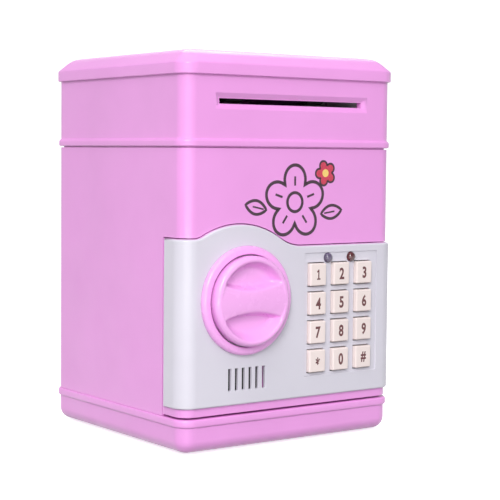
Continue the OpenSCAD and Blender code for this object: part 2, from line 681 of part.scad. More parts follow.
module door_back_cover() placed() color(inner_white) difference() {
    union() {
        intersection() {
            prism(plan(-door_skin - 0.2), door_z0, 120);
            upright(cover_front, door_back) polygon(door_outline(-2.4, door_z0, -side_x - 3, side_x - 6.7));
        }
        for (z = [34, 52]) box(8, 50, door_back - 0.5, door_back + 0.8, z - 0.8, z + 0.8);
        rod_y(knob_x, cover_front - 0.6, door_back + 1.4, knob_z, 7);
    }
    rod_y(knob_x, cover_front - 2, door_back + 3, knob_z, 4.06);
    for (p = boss_places) rod_y(p[0], cover_front - 1, door_back + 2, p[1], 1.5);
    for (p = boss_places) rod_y(p[0], door_back - 0.9, door_back + 2, p[1], 2.9);
    for (i = [-3:3]) box(grille_x + i * 3.2 - 0.7, grille_x + i * 3.2 + 0.7, cover_front - 1, door_back + 1,
        grille_z - 7, grille_z + 7);
}

module door_screws() placed() color(steel) for (p = boss_places)
    translate([p[0], door_back + 0.4, p[1]]) rotate([90, 0, 0]) screw(0, 0, 0, 8, 2.6, 1.3);

board_y = tray_floor + 2.8;

module keypad_membrane() placed() color([0.82, 0.80, 0.78]) difference() {
    union() {
        box(pad_x0 + 0.4, 49.6, board_y - 1.2, board_y - 0.1, 33.6, 93.6);
        for (row = [0:3]) for (col = [-1:1])
            rod_y(key_x + col * key_pitch_x, board_y - 1.4, board_y - 0.6, key_z - row * key_pitch_z, 3.6);
    }
    for (s = [-1, 1]) rod_y(key_x + s * key_pitch_x / 2, board_y - 3, board_y + 1, led_z, 2.7);
}

module control_board() placed() color([0.10, 0.38, 0.20]) {
    box(4.4, 51, board_y, board_y + 1.6, 31, 94.2);
    box(22, 34, board_y + 1.6, board_y + 3.4, 66, 74);
    box(10, 18, board_y + 1.6, board_y + 5.6, 36, 41);
    box(38, 46, board_y + 1.6, board_y + 5.6, 36, 41);
    for (i = [0:2]) rod_y(14 + i * 9, board_y + 1.5, board_y + 7, 50, 2.2, 32);
    rod_y(42, board_y + 1.5, board_y + 5, 84, 1.8, 32);
}

module led(x) {
    turned(x, led_z, board_y - 0.1, 48) polygon(concat([[0, 0], [2.5, 0], [2.5, 5.9]],
        arc(0, 5.9, 2.5, 10, 90, 6)));
}

module led_green() placed() color([0.35, 0.42, 0.45]) led(key_x - key_pitch_x / 2);
module led_red() placed() color([0.35, 0.05, 0.07]) led(key_x + key_pitch_x / 2);

module speaker() placed() color([0.15, 0.15, 0.16]) {
    rod_y(grille_x, tray_floor + 0.1, tray_floor + 2.4, grille_z, 13.5, 64);
    rod_y(grille_x, tray_floor + 2.4, tray_floor + 5.4, grille_z, 8, 48);
}

sol_z = knob_z + 16;     // underside of the solenoid

module solenoid_frame() placed() color(steel) difference() {
    box(knob_x - 7, knob_x + 7, tray_floor + 0.4, cover_front - 0.4, sol_z, sol_z + 15);
    box(knob_x - 5.6, knob_x + 5.6, tray_floor - 1, cover_front + 1, sol_z + 1.2, sol_z + 13.8);
    rod_z(knob_x, cam_y + 1.5, sol_z - 1, sol_z + 2, 1.7);
}

module solenoid_coil() placed() color([0.62, 0.30, 0.14]) difference() {
    rod_z(knob_x, cam_y + 1.5, sol_z + 1.3, sol_z + 13.7, 5);
    rod_z(knob_x, cam_y + 1.5, sol_z, sol_z + 12, 1.7);
}

module lock_plunger() placed() color(steel) union() {
    rod_z(knob_x, cam_y + 1.5, knob_z + 9.2, sol_z + 8, 1.5);
    rod_z(knob_x, cam_y + 1.5, knob_z + 12.1, knob_z + 12.8, 2.5);
}

module plunger_spring() placed() color(steel) for (k = [0:3])
    translate([knob_x, cam_y + 1.5, knob_z + 13.1 + k * 0.86]) rotate_extrude($fn = 48)
        translate([2.1, 0]) circle(r = 0.22, $fn = 16);

module key_cap(col, row) {
    x = key_x + (col - 1) * key_pitch_x;
    z = key_z - row * key_pitch_z;
    placed() color(key_white) union() {
        box(x - key_w / 2, x + key_w / 2, face_y - 1.7, front_y + 0.5, z - key_h / 2, z + key_h / 2);
        box(x - key_w / 2 - 0.8, x + key_w / 2 + 0.8, front_y + 0.1, front_y + 1.1,
            z - key_h / 2, z + key_h / 2);
        rod_y(x, front_y + 1, board_y - 1.4 - key_travel - 0.1, z, 3);
    }
}

base_tray();
floor_panel();
rubber_feet();
base_screws();
battery_cover();
battery_cover_screw();
battery_cells();
battery_contacts();
body_shell();
strike_plate();
hinge_pins();
mid_deck();
head_shell();
head_screws();
lid();
feeder_frame();
note_guide();
feeder_motor();
gear_pin();
note_sensor();
drive_shaft();
drive_tyres();
roller_gear();
idler_shaft();
idler_tyres();
reduction_gear();
motor_pinion();
door_shell();
door_fascia();
knob_ring();
door_back_cover();
door_screws();
keypad_membrane();
control_board();
led_green();
led_red();
speaker();
solenoid_frame();
solenoid_coil();
knob();
latch_cam();
latch_tongue();
knob_screw();
lock_plunger();
plunger_spring();
key_cap(0, 0);  // key_1
key_cap(1, 0);  // key_2
key_cap(2, 0);  // key_3
key_cap(0, 1);  // key_4
key_cap(1, 1);  // key_5
key_cap(2, 1);  // key_6
key_cap(0, 2);  // key_7
key_cap(1, 2);  // key_8
key_cap(2, 2);  // key_9
key_cap(0, 3);  // key_star
key_cap(1, 3);  // key_0
key_cap(2, 3);  // key_hash
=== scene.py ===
# %% [markdown]
# # A toy safe coin bank
# The bank is a pink moulded box with a white door fascia, a big knob, a keypad and a banknote
# slot. Its parts already exist as an engineering model, so this lesson loads that model as a
# fixed frame and works only on how each part looks. Everything is in metres, the front faces -Y
# and +Z is up.

# %% Load the frame
import json
import math
import bmesh
import bpy
from mathutils import Matrix, Vector


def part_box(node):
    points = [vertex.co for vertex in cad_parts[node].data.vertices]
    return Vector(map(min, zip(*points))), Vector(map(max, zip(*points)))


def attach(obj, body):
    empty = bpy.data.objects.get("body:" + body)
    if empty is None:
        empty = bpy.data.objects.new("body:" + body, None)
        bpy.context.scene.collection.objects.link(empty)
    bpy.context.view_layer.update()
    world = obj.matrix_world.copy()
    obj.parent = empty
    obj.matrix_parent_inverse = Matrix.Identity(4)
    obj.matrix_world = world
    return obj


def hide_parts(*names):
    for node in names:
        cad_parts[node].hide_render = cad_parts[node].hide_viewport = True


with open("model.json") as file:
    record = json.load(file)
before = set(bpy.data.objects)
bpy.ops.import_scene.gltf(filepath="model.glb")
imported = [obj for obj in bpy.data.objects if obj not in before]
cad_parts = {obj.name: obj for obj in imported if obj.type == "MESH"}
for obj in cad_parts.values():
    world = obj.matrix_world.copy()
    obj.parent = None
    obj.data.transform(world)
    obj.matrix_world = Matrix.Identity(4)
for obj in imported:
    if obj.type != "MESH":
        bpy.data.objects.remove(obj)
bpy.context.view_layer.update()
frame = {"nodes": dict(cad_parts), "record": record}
nodes = frame["nodes"]
MM = 0.001

# %% [markdown]
# ## Camera
# A long lens set well back keeps the upright edges of the box almost parallel. The camera looks
# down by three degrees, and it is turned to see the front and the left side. The lens is shifted
# sideways, because the bank stands left of the middle of the picture. The angles are in degrees.

# %% Camera
STAND = (-0.4320, -0.6003, 0.1415)
TURN_RIGHT = 35.37
LOOK_DOWN = 3.13
ROLL = 0.47

camera_data = bpy.data.cameras.new("camera")
camera = bpy.data.objects.new("camera", camera_data)
bpy.context.scene.collection.objects.link(camera)
turn = Matrix.Rotation(math.radians(-TURN_RIGHT), 4, "Z")
tilt = Matrix.Rotation(math.radians(90 - LOOK_DOWN), 4, "X")
roll = Matrix.Rotation(math.radians(ROLL), 4, "Z")
camera.matrix_world = Matrix.Translation(STAND) @ turn @ tilt @ roll
camera_data.lens = 103.1
camera_data.shift_x = 0.0687
camera_data.shift_y = -0.0375
bpy.context.scene.camera = camera
print("camera at", [round(v, 3) for v in camera.location], "lens", camera_data.lens)

# %% [markdown]
# ## Colours
# Colour names are given as they look on a screen, from 0 to 1. Shaders work in linear light, so
# one helper converts them.

# %% Colours
def linear(red, green, blue):
    """Turns a colour as it looks on a screen into linear light."""
    return tuple(c / 12.92 if c <= 0.04045 else ((c + 0.055) / 1.055) ** 2.4 for c in (red, green, blue))


def shade(colour, amount):
    """Makes a linear colour lighter or darker by a factor."""
    return tuple(min(1.0, c * amount) for c in colour)


PINK = linear(0.905, 0.598, 0.868)
KNOB_PINK = linear(0.940, 0.655, 0.912)
WHITE = linear(0.822, 0.806, 0.848)
KEY_WHITE = linear(0.925, 0.865, 0.850)
NATURAL = linear(0.86, 0.86, 0.85)
print("pink in linear light", [round(c, 3) for c in PINK])

# %% [markdown]
# ## Building blocks for materials
# Each finish starts from one principled shader. A small kit adds procedural patterns to it:
# noise in real metres, a blend of two colours, and a bump. Working in object coordinates keeps
# every pattern at its real scale on every part.

# %% Material kit
class Finish:
    """One material and the few kinds of node that the finishes below need."""

    def __init__(self, name):
        self.material = bpy.data.materials.new(name)
        self.material.use_nodes = True
        self.tree = self.material.node_tree
        self.shader = self.tree.nodes["Principled BSDF"]
        self.place = self.tree.nodes.new("ShaderNodeTexCoord").outputs["Object"]

    def node(self, kind, **inputs):
        made = self.tree.nodes.new(kind)
        for key, value in inputs.items():
            socket = made.inputs[key.replace("_", " ")]
            if isinstance(value, bpy.types.NodeSocket):
                self.tree.links.new(value, socket)
            else:
                socket.default_value = value
        return made

    def stretched(self, scale):
        """Object coordinates, scaled along each axis."""
        made = self.node("ShaderNodeMapping", Vector=self.place)
        made.inputs["Scale"].default_value = scale
        return made.outputs["Vector"]

    def noise(self, scale, detail=2.0, place=None):
        made = self.node("ShaderNodeTexNoise", Vector=place or self.place, Scale=scale, Detail=detail)
        return made.outputs["Fac"]

    def ranged(self, value, low, high, from_low=0.3, from_high=0.7):
        made = self.node("ShaderNodeMapRange", Value=value)
        limits = {"From Min": from_low, "From Max": from_high, "To Min": low, "To Max": high}
        for key, number in limits.items():
            made.inputs[key].default_value = number
        return made.outputs["Result"]

    def blended(self, factor, first, second):
        made = self.tree.nodes.new("ShaderNodeMix")
        made.data_type = "RGBA"
        self.tree.links.new(factor, made.inputs["Factor"])
        for socket, value in ((made.inputs[6], first), (made.inputs[7], second)):
            if isinstance(value, bpy.types.NodeSocket):
                self.tree.links.new(value, socket)
            else:
                socket.default_value = (*value, 1.0)
        return made.outputs[2]

    def bumped(self, height, strength, depth, below=None):
        made = self.node("ShaderNodeBump", Height=height, Strength=strength, Distance=depth)
        if below is not None:
            self.tree.links.new(below, made.inputs["Normal"])
        return made.outputs["Normal"]

    def feed(self, **sockets):
        for key, value in sockets.items():
            socket = self.shader.inputs[key.replace("_", " ")]
            if isinstance(value, bpy.types.NodeSocket):
                self.tree.links.new(value, socket)
            else:
                socket.default_value = value
        return self


print("material kit ready")

# %% [markdown]
# ## Moulded plastic
# Most of the bank is glossy injection-moulded plastic. Up close such a surface has a very fine
# grain from the mould, patches that are a little more polished than others, and cloudy patches
# of colour that the eye hardly notices. All three come from noise at different scales.

# %% Moulded plastic
def moulded_plastic(name, colour, rough=0.34, coat=0.18, grain=0.10):
    made = Finish(name)
    cloud = made.noise(28.0, 3.0)
    handled = made.noise(70.0, 4.0)
    skin = made.noise(2600.0, 2.0)
    made.feed(
        Base_Color=made.blended(made.ranged(cloud, 0.0, 1.0), shade(colour, 0.965), shade(colour, 1.02)),
        Roughness=made.ranged(handled, rough - 0.05, rough + 0.07),
        Normal=made.bumped(skin, grain, 0.00003),
        Coat_Weight=coat, Coat_Roughness=0.14, IOR=1.48)
    made.material.diffuse_color = (*colour, 1.0)
    return made.material


pink_plastic = moulded_plastic("pink_plastic", PINK)
knob_plastic = moulded_plastic("knob_plastic", KNOB_PINK, rough=0.28, coat=0.3)
white_plastic = moulded_plastic("white_plastic", WHITE, rough=0.38, coat=0.10)
key_plastic = moulded_plastic("key_plastic", KEY_WHITE, rough=0.42, coat=0.05, grain=0.15)
inner_plastic = moulded_plastic("inner_plastic", NATURAL, rough=0.5, coat=0.0, grain=0.2)
black_plastic = moulded_plastic("black_plastic", linear(0.13, 0.13, 0.14), rough=0.55, coat=0.0, grain=0.3)
print("plastics made:", [m.name for m in bpy.data.materials])

# %% [markdown]
# ## Metals, rubber and small finishes
# Steel sheet carries fine brushed lines, so its noise is stretched along one axis. Rubber is
# matt and a little dusty. Lamps are tinted resin: a dark, very smooth body that keeps one sharp
# highlight.

# %% Metals and rubber
def brushed_metal(name, colour, rough, along=(30.0, 30.0, 2200.0)):
    made = Finish(name)
    lines = made.noise(1.0, 3.0, made.stretched(along))
    tarnish = made.noise(160.0, 4.0)
    made.feed(
        Base_Color=made.blended(made.ranged(tarnish, 0.0, 1.0), shade(colour, 0.85), colour),
        Roughness=made.ranged(lines, rough - 0.08, rough + 0.12),
        Normal=made.bumped(lines, 0.15, 0.00005), Metallic=1.0)
    return made.material


def soft_rubber(name, colour):
    made = Finish(name)
    dust = made.noise(300.0, 5.0)
    pores = made.noise(3000.0, 2.0)
    made.feed(
        Base_Color=made.blended(made.ranged(dust, 0.0, 1.0), colour, shade(colour, 1.35)),
        Roughness=made.ranged(dust, 0.72, 0.9), Normal=made.bumped(pores, 0.35, 0.00006))
    return made.material


def tinted_resin(name, colour):
    made = Finish(name)
    depth = made.noise(500.0, 2.0)
    made.feed(
        Base_Color=made.blended(made.ranged(depth, 0.0, 1.0), shade(colour, 0.8), shade(colour, 1.25)),
        Roughness=0.08, Coat_Weight=0.6, Coat_Roughness=0.03)
    return made.material


steel = brushed_metal("steel", (0.58, 0.58, 0.60), 0.30)
brass = brushed_metal("brass", linear(0.83, 0.68, 0.36), 0.28)
rubber = soft_rubber("rubber", linear(0.20, 0.20, 0.21))
pale_rubber = soft_rubber("pale_rubber", linear(0.80, 0.78, 0.75))
led_grey = tinted_resin("led_grey", linear(0.34, 0.29, 0.40))
led_red = tinted_resin("led_red", linear(0.30, 0.02, 0.07))
print("finishes so far:", len(bpy.data.materials))

# %% [markdown]
# ## Printing ink
# The digits and the picture are pad-printed. Such ink is a thin film: its colour is never quite
# even, because the plastic shows through where the film is thin, and it is a little less glossy
# than the plastic around it.

# %% Printing ink
def printed_ink(name, colour, thin):
    made = Finish(name)
    film = made.noise(1400.0, 3.0)
    made.feed(
        Base_Color=made.blended(made.ranged(film, 0.0, 1.0), colour, thin),
        Roughness=made.ranged(film, 0.42, 0.58), Normal=made.bumped(film, 0.2, 0.00001))
    return made.material


digit_ink = printed_ink("digit_ink", linear(0.33, 0.15, 0.17), linear(0.42, 0.23, 0.24))
outline_ink = printed_ink("outline_ink", linear(0.14, 0.06, 0.12), linear(0.22, 0.11, 0.18))
red_ink = printed_ink("red_ink", linear(0.72, 0.16, 0.26), linear(0.80, 0.25, 0.36))
yellow_ink = printed_ink("yellow_ink", linear(0.93, 0.78, 0.40), linear(0.96, 0.83, 0.50))
print("inks made, finishes so far:", len(bpy.data.materials))

# %% [markdown]
# ## Circuit board, winding and cells
# The board is green lacquer over copper tracks: a brick pattern gives the tracks, and they stand
# out by a hair. The coil is a stack of thin varnished wires, so its bump is a fine wave along its
# height, and the dips of that wave are painted darker as painted shade between the wires. The cells wear a
# printed film with light scuffs.

# %% Board, winding, cells
def circuit_board():
    made = Finish("circuit_board")
    turned = made.node("ShaderNodeMapping", Vector=made.place)
    turned.inputs["Rotation"].default_value = (math.radians(90), 0.0, 0.0)
    tracks = made.node("ShaderNodeTexBrick", Vector=turned.outputs["Vector"], Scale=260.0)
    tracks.inputs["Mortar Size"].default_value = 0.06
    lacquer = linear(0.06, 0.34, 0.17)
    made.feed(
        Base_Color=made.blended(tracks.outputs["Fac"], lacquer, shade(lacquer, 1.9)),
        Roughness=0.35, Normal=made.bumped(tracks.outputs["Fac"], 0.4, 0.00005), Coat_Weight=0.4)
    return made.material


def wound_wire():
    made = Finish("copper_wire")
    wave = made.node("ShaderNodeTexWave", Vector=made.place, Scale=780.0)
    wave.bands_direction = "Z"
    copper = linear(0.66, 0.33, 0.17)
    # Painted shade: the dips between the wires take a copper darkened to 0.45, as if in shadow.
    made.feed(
        Base_Color=made.blended(wave.outputs["Fac"], shade(copper, 0.45), copper), Metallic=0.8,
        Roughness=0.3, Normal=made.bumped(wave.outputs["Fac"], 0.8, 0.0001))
    return made.material


def cell_wrap():
    made = Finish("battery_wrap")
    scuff = made.noise(120.0, 5.0)
    film = linear(0.10, 0.10, 0.12)
    made.feed(
        Base_Color=made.blended(made.ranged(scuff, 0.0, 1.0), film, shade(film, 1.6)),
        Roughness=made.ranged(scuff, 0.22, 0.4), Metallic=0.3)
    return made.material


board_lacquer = circuit_board()
copper_wire = wound_wire()
battery_wrap = cell_wrap()
print("all finishes:", len(bpy.data.materials))

# %% [markdown]
# ## Giving each part its finish
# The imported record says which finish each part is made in. The parts keep that choice here, so a
# loop can hand the materials out.

# %% Hand out the finishes
FINISHES = {
    "pink_plastic": pink_plastic, "white_plastic": white_plastic, "key_plastic": key_plastic,
    "inner_plastic": inner_plastic, "black_plastic": black_plastic, "rubber": rubber,
    "pale_rubber": pale_rubber, "steel": steel, "brass": brass, "circuit_board": board_lacquer,
    "copper_wire": copper_wire, "battery_wrap": battery_wrap, "led_grey": led_grey, "led_red": led_red}


def dress(piece, material):
    piece.data.materials.clear()
    piece.data.materials.append(material)


slot_of = {part["node"]: part["material_slot"] for part in frame["record"]["subparts"]}
for name, part in nodes.items():
    dress(part, FINISHES[slot_of[name]])
print("dressed", len(nodes), "parts in", len(set(slot_of.values())), "finishes")

# %% [markdown]
# ## Where the faces are
# Many pieces below sit on the front of the case, on the fascia or on a key. The engineering
# parts give those places: the lowest Y of a part is its front face, because the front faces -Y.

# %% Front faces
def low(name):
    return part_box(name)[0]


def high(name):
    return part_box(name)[1]


def middle(name):
    return (low(name) + high(name)) / 2


CASE_FRONT = low("body_shell").y
FASCIA_FRONT = low("door_fascia").y
CASE_MIDDLE = middle("body_shell")
CASE_HALF = (high("body_shell") - low("body_shell")) / 2
KNOB = middle("knob")
KNOB_RADIUS = (high("knob").x - low("knob").x) / 2
print("case front at", round(CASE_FRONT / MM, 2), "mm, fascia front at", round(FASCIA_FRONT / MM, 2), "mm")

# %% [markdown]
# ## Adding a piece
# Every new piece is an object that rides on one moving body and takes one finish. This helper
# does the bookkeeping, so that the cells below can deal with shape only.

# %% Adding a piece
def body_of_node(name):
    return next(b for b, members in frame["record"]["behaviour"]["bodies"].items() if name in members)


def add_piece(name, mesh_tool, body, slot, material=None):
    for face in mesh_tool.faces:
        face.smooth = True
    mesh = bpy.data.meshes.new(name)
    mesh_tool.to_mesh(mesh)
    mesh_tool.free()
    piece = bpy.data.objects.new(name, mesh)
    bpy.context.scene.collection.objects.link(piece)
    dress(piece, material or FINISHES[slot])
    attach(piece, body)
    return piece


# %% [markdown]
# ## Rounded edges
# No moulded or pressed part has a truly sharp edge, and the thin highlight along a rounded edge
# is what makes an object look real. The engineering parts have sharp edges, so a copy of each
# outer part is welded, its flat facets are joined, and a bevel rounds the edges that a rule
# picks. The rule gives a radius in millimetres, or 0 to leave an edge sharp.

# %% Rounded copies
SHARP = math.radians(28)
SAME_POINT = 0.002 * MM
SAME_PLANE = math.radians(1.0)
CASE_CORNER = 7.0


def welded(name):
    mesh_tool = bmesh.new()
    mesh_tool.from_mesh(nodes[name].data)
    bmesh.ops.remove_doubles(mesh_tool, verts=mesh_tool.verts, dist=SAME_POINT)
    bmesh.ops.dissolve_limit(mesh_tool, angle_limit=SAME_PLANE, verts=mesh_tool.verts,
                             edges=mesh_tool.edges)
    return mesh_tool


def rounded_copy(name, radius_of, widest, segments=3):
    """Makes a new piece from a part, with its edges rounded by the rule radius_of(place in mm)."""
    mesh_tool = welded(name)
    weight = mesh_tool.edges.layers.float.new("bevel_weight_edge")
    rounded = 0
    for edge in mesh_tool.edges:
        if edge.calc_face_angle(0.0) < SHARP:
            continue
        radius = radius_of((edge.verts[0].co + edge.verts[1].co) / 2 / MM)
        edge[weight] = radius / widest
        edge.smooth = radius > 0
        rounded += radius > 0
    piece = add_piece(name + "_moulded", mesh_tool, body_of_node(name), slot_of[name])
    bevel = piece.modifiers.new("round edges", "BEVEL")
    bevel.limit_method = "WEIGHT"
    bevel.width = widest * MM
    bevel.segments = segments
    bevel.use_clamp_overlap = False
    bevel.miter_outer = "MITER_ARC"
    piece.modifiers.new("even shading", "WEIGHTED_NORMAL").keep_sharp = True
    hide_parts(name)
    print(name, "rounded", rounded, "edges at up to", widest, "mm")


def stands_out(place):
    """How far a place, in mm, lies outside the upright walls of the case, whose corners are round."""
    across = abs(place.x - CASE_MIDDLE.x / MM) - (CASE_HALF.x / MM - CASE_CORNER)
    deep = abs(place.y - CASE_MIDDLE.y / MM) - (CASE_HALF.y / MM - CASE_CORNER)
    return math.hypot(max(across, 0.0), max(deep, 0.0)) - CASE_CORNER + min(max(across, deep), 0.0)


print("the case is", [round(2 * v / MM, 1) for v in CASE_HALF], "mm wide, deep and high")

# %% [markdown]
# ## Case
# The base, body, head, lid and door are five shells with tight seams. The outer edges of four of
# them are rounded by about a quarter of a millimetre. The slots in the head and the lid keep
# their crisp inner edges, and only their rims are rounded. The body keeps all of its edges crisp,
# because a bevel along its curved edge over the door left a dark smear in the shading.

# %% Case
NOTE_SLOT_Z = 165.8
NOTE_RIM_RISE = 5.0
NOTE_RIM_REACH = 49.0
COIN_SLOT_REACH = 19.0
TOP = high("lid").z / MM
MOULD_EDGE = 0.25
LIP_EDGE = 0.2


def on_skin(place):
    return stands_out(place) > -0.2


def shell_edge(place):
    return MOULD_EDGE if on_skin(place) else 0.0


def head_edge(place):
    near_slot = abs(place.z - NOTE_SLOT_Z) < NOTE_RIM_RISE and abs(place.x) < NOTE_RIM_REACH
    if near_slot and place.y < 0:
        return MOULD_EDGE if abs(place.y - CASE_FRONT / MM) < 0.02 else 0.0
    return shell_edge(place)


def lid_edge(place):
    if on_skin(place):
        return LIP_EDGE
    return MOULD_EDGE if place.z > TOP - 0.05 and abs(place.x) < COIN_SLOT_REACH else 0.0


def crisp_edge(place):
    return 0.0


for name, rule in (("base_tray", shell_edge), ("body_shell", crisp_edge), ("head_shell", head_edge),
                   ("lid", lid_edge), ("door_shell", shell_edge)):
    rounded_copy(name, rule, MOULD_EDGE, segments=2)

# %% [markdown]
# ## Door fascia
# The white fascia is a thin shell that wraps the front corners. Its outline is softly rounded by
# a full millimetre, while the rim of the keypad recess and the speaker slots have only a fine
# edge. The key windows lie on the floor of the recess and stay crisp. The rule tells all of these
# apart by place: the keypad and the grille are two areas of the front, in millimetres.

# %% Door fascia
PAD = (6.0, 54.0, 31.5, 94.0)
GRILLE = (-41.0, -15.0, 28.0, 41.0)
BORE_REACH = 10.0
OUTER_SKIN = 1.3
WINDOW_EDGE = 0.2
RIM_EDGE = 1.0


def inside(place, area):
    """Whether a place on the front lies in an area, given as left, right, bottom and top."""
    return area[0] < place.x < area[1] and area[2] < place.z < area[3] and place.y < CASE_FRONT / MM


def fascia_edge(place):
    hidden_bore = math.hypot(place.x - KNOB.x / MM, place.z - KNOB.z / MM) < BORE_REACH
    if stands_out(place) <= OUTER_SKIN or hidden_bore:
        return 0.0
    return WINDOW_EDGE if inside(place, PAD) or inside(place, GRILLE) else RIM_EDGE


rounded_copy("door_fascia", fascia_edge, RIM_EDGE, segments=5)

# %% [markdown]
# ## Turned shapes
# Lamps, the knob's collar and its shaft are round. A turned shape is a profile of radius and
# height, spun about a line that points out of the front. Profile points are a fraction of a
# millimetre apart where the edge is rounded.

# %% Turned shapes
def arc(radius, height, size, start, end, steps=8):
    """Points on a quarter round, as radius and height."""
    angles = [math.radians(start + (end - start) * i / steps) for i in range(steps + 1)]
    return [(radius + size * math.cos(a), height + size * math.sin(a)) for a in angles]


def turned(profile, x, y, z, steps=128, closed=False):
    """Spins a profile in mm about a line along -Y through (x, y, z), which is in metres."""
    mesh_tool = bmesh.new()
    loops = []
    for radius, height in profile:
        if radius < 0.0001:
            loops.append([mesh_tool.verts.new((x, y - height * MM, z))])
            continue
        ring = [math.tau * i / steps for i in range(steps)]
        loops.append([mesh_tool.verts.new((x + radius * MM * math.cos(a), y - height * MM,
                                           z + radius * MM * math.sin(a))) for a in ring])
    pairs = list(zip(loops, loops[1:]))
    if closed:
        pairs.append((loops[-1], loops[0]))
    for first, second in pairs:
        for i in range(steps):
            j = (i + 1) % steps
            corners = [first[i % len(first)], first[j % len(first)],
                       second[j % len(second)], second[i % len(second)]]
            mesh_tool.faces.new(list(dict.fromkeys(corners)))
    bmesh.ops.recalc_face_normals(mesh_tool, faces=mesh_tool.faces)
    return mesh_tool


print("knob radius", round(KNOB_RADIUS / MM, 1), "mm, to be turned at", [round(v / MM, 1) for v in KNOB])

# %% [markdown]
# ## Knob
# The knob is a thick disc with a finger scoop above and below a grip bar. A height field over the
# disc gives the smooth bowls that a box cut can't: the depth grows steeply away from the bar,
# where the fingers push, and gently from the rim. Rings of points follow the round edge.

# %% Knob face
BAR_HALF = 5.4
BAR_FLARE = 0.010
SCOOP_RIM = 18.6
SCOOP_DEPTH = 4.8
BAR_SLOPE = 2.2
RIM_SLOPE = 4.2
BOWL = 2.2
CROWN = 0.35
EDGE_ROUND = 2.2
ROUND_STEPS = 224


def softly(distance, blur=0.35):
    """Distance inside an edge, which starts gently instead of with a crease."""
    return (distance + math.sqrt(distance * distance + blur * blur)) / 2


def scoop_depth(x, z):
    bar = BAR_HALF + BAR_FLARE * x * x
    from_bar = min(1.0, softly(abs(z) - bar) / BAR_SLOPE)
    from_rim = min(1.0, softly(SCOOP_RIM - math.hypot(x, z)) / RIM_SLOPE)
    return SCOOP_DEPTH * (1 - (1 - from_bar) ** BOWL) * (1 - (1 - from_rim) ** BOWL)


def knob_rings(face):
    """Rings of (radius, height) from the middle of the face over the round edge to the back."""
    flat = KNOB_RADIUS / MM - EDGE_ROUND
    rings = [(flat * i / 64, face) for i in range(1, 65)]
    rings += [(r, h) for r, h in arc(flat, face - EDGE_ROUND, EDGE_ROUND, 90, 0, 10)[1:]]
    return rings + [(KNOB_RADIUS / MM, 0.9), (KNOB_RADIUS / MM - 0.3, 0.5), (9.0, 0.4)]


def height_at(x, z, height):
    crown = CROWN * min(1.0, abs(z) / BAR_HALF) ** 2
    return height - scoop_depth(x, z) - crown * (math.hypot(x, z) < SCOOP_RIM)


def knob_face():
    face = (FASCIA_FRONT - low("knob").y) / MM
    steps = ROUND_STEPS
    mesh_tool = bmesh.new()
    top = mesh_tool.verts.new((KNOB.x, FASCIA_FRONT - height_at(0, 0, face) * MM, KNOB.z))
    previous = [top] * steps
    for radius, height in knob_rings(face):
        ring = []
        for i in range(steps):
            x = radius * math.cos(math.tau * i / steps)
            z = radius * math.sin(math.tau * i / steps)
            lift = height_at(x, z, height) if height == face else height
            ring.append(mesh_tool.verts.new((KNOB.x + x * MM, FASCIA_FRONT - lift * MM, KNOB.z + z * MM)))
        for i in range(steps):
            j = (i + 1) % steps
            mesh_tool.faces.new(list(dict.fromkeys([previous[i], previous[j], ring[j], ring[i]])))
        previous = ring
    mesh_tool.faces.new(previous)
    bmesh.ops.recalc_face_normals(mesh_tool, faces=mesh_tool.faces)
    return mesh_tool


knob_disc = add_piece("knob_disc", knob_face(), "latch_knob", "pink_plastic", knob_plastic)
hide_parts("knob")
print("knob face has", len(knob_disc.data.polygons), "faces")

# %% [markdown]
# ## Knob shaft and collar
# Behind the disc the knob has a thick hub and a shaft that runs through the door to the latch.
# The collar around the disc is a soft ring on the fascia: its crest is round, and it falls away
# to a thin edge on the outside.

# %% Knob shaft and collar
HUB = 8.0
SHAFT = 4.0
HUB_SHORT_OF_SPEAKER = 2.6


def knob_shaft():
    back = (FASCIA_FRONT - high("knob").y) / MM
    hub_back = (FASCIA_FRONT - high("speaker").y) / MM + HUB_SHORT_OF_SPEAKER
    profile = [(0.0, 0.9), (HUB, 0.9), (HUB, hub_back + 0.3), (HUB - 0.3, hub_back), (SHAFT, hub_back),
               (SHAFT, back + 0.5), (SHAFT - 0.4, back), (0.0, back)]
    return turned(profile, KNOB.x, FASCIA_FRONT, KNOB.z, 96)


def knob_collar():
    outer = (high("knob_ring").x - low("knob_ring").x) / MM / 2
    inner = KNOB_RADIUS / MM + 0.5
    crest = (FASCIA_FRONT - low("knob_ring").y) / MM
    profile = [(inner, 0.0), (inner, crest - 0.7)]
    profile += arc(inner + 0.6, crest - 0.6, 0.6, 180, 90, 6)
    profile += arc(outer - 1.9, crest - 1.9, 1.9, 80, 0, 12)
    profile += [(outer, 0.35), (outer - 0.1, 0.0)]
    return turned(profile, KNOB.x, FASCIA_FRONT, KNOB.z, ROUND_STEPS, closed=True)


shaft = add_piece("knob_shaft", knob_shaft(), "latch_knob", "pink_plastic", knob_plastic)
collar = add_piece("knob_collar", knob_collar(), "door", "pink_plastic", knob_plastic)
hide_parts("knob_ring")
for piece in (shaft, collar):
    piece.modifiers.new("even shading", "WEIGHTED_NORMAL").keep_sharp = True
print("collar has", len(collar.data.polygons), "faces")

# %% [markdown]
# ## Lamps
# Each lamp is a five millimetre dome of tinted resin on a straight barrel. It is turned in one
# piece, and both of them are off, so one looks grey and the other nearly black.

# %% Lamps
def lamp(name):
    front = (high(name).y - low(name).y) / MM
    radius = (high(name).x - low(name).x) / MM / 2
    profile = [(0.0, 0.0), (radius, 0.0), (radius, front - radius)]
    profile += arc(0.0, front - radius, radius, 6, 90, 14)
    where = middle(name)
    dome = turned(profile, where.x, high(name).y, where.z, 64)
    piece = add_piece(name + "_dome", dome, "door", slot_of[name])
    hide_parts(name)
    return piece


for name in ("led_green", "led_red"):
    print(lamp(name).name, "made")

# %% [markdown]
# ## Keys
# A key cap is a small block with softly rounded front edges. The engineering part gives its size,
# its flange and its stem, so the cap is a rounded copy: only the edges in front of the flange
# are rounded.

# %% Key caps
KEY_NAMES = [name for name in nodes if name.startswith("key_")]
CAP_EDGE = 0.7


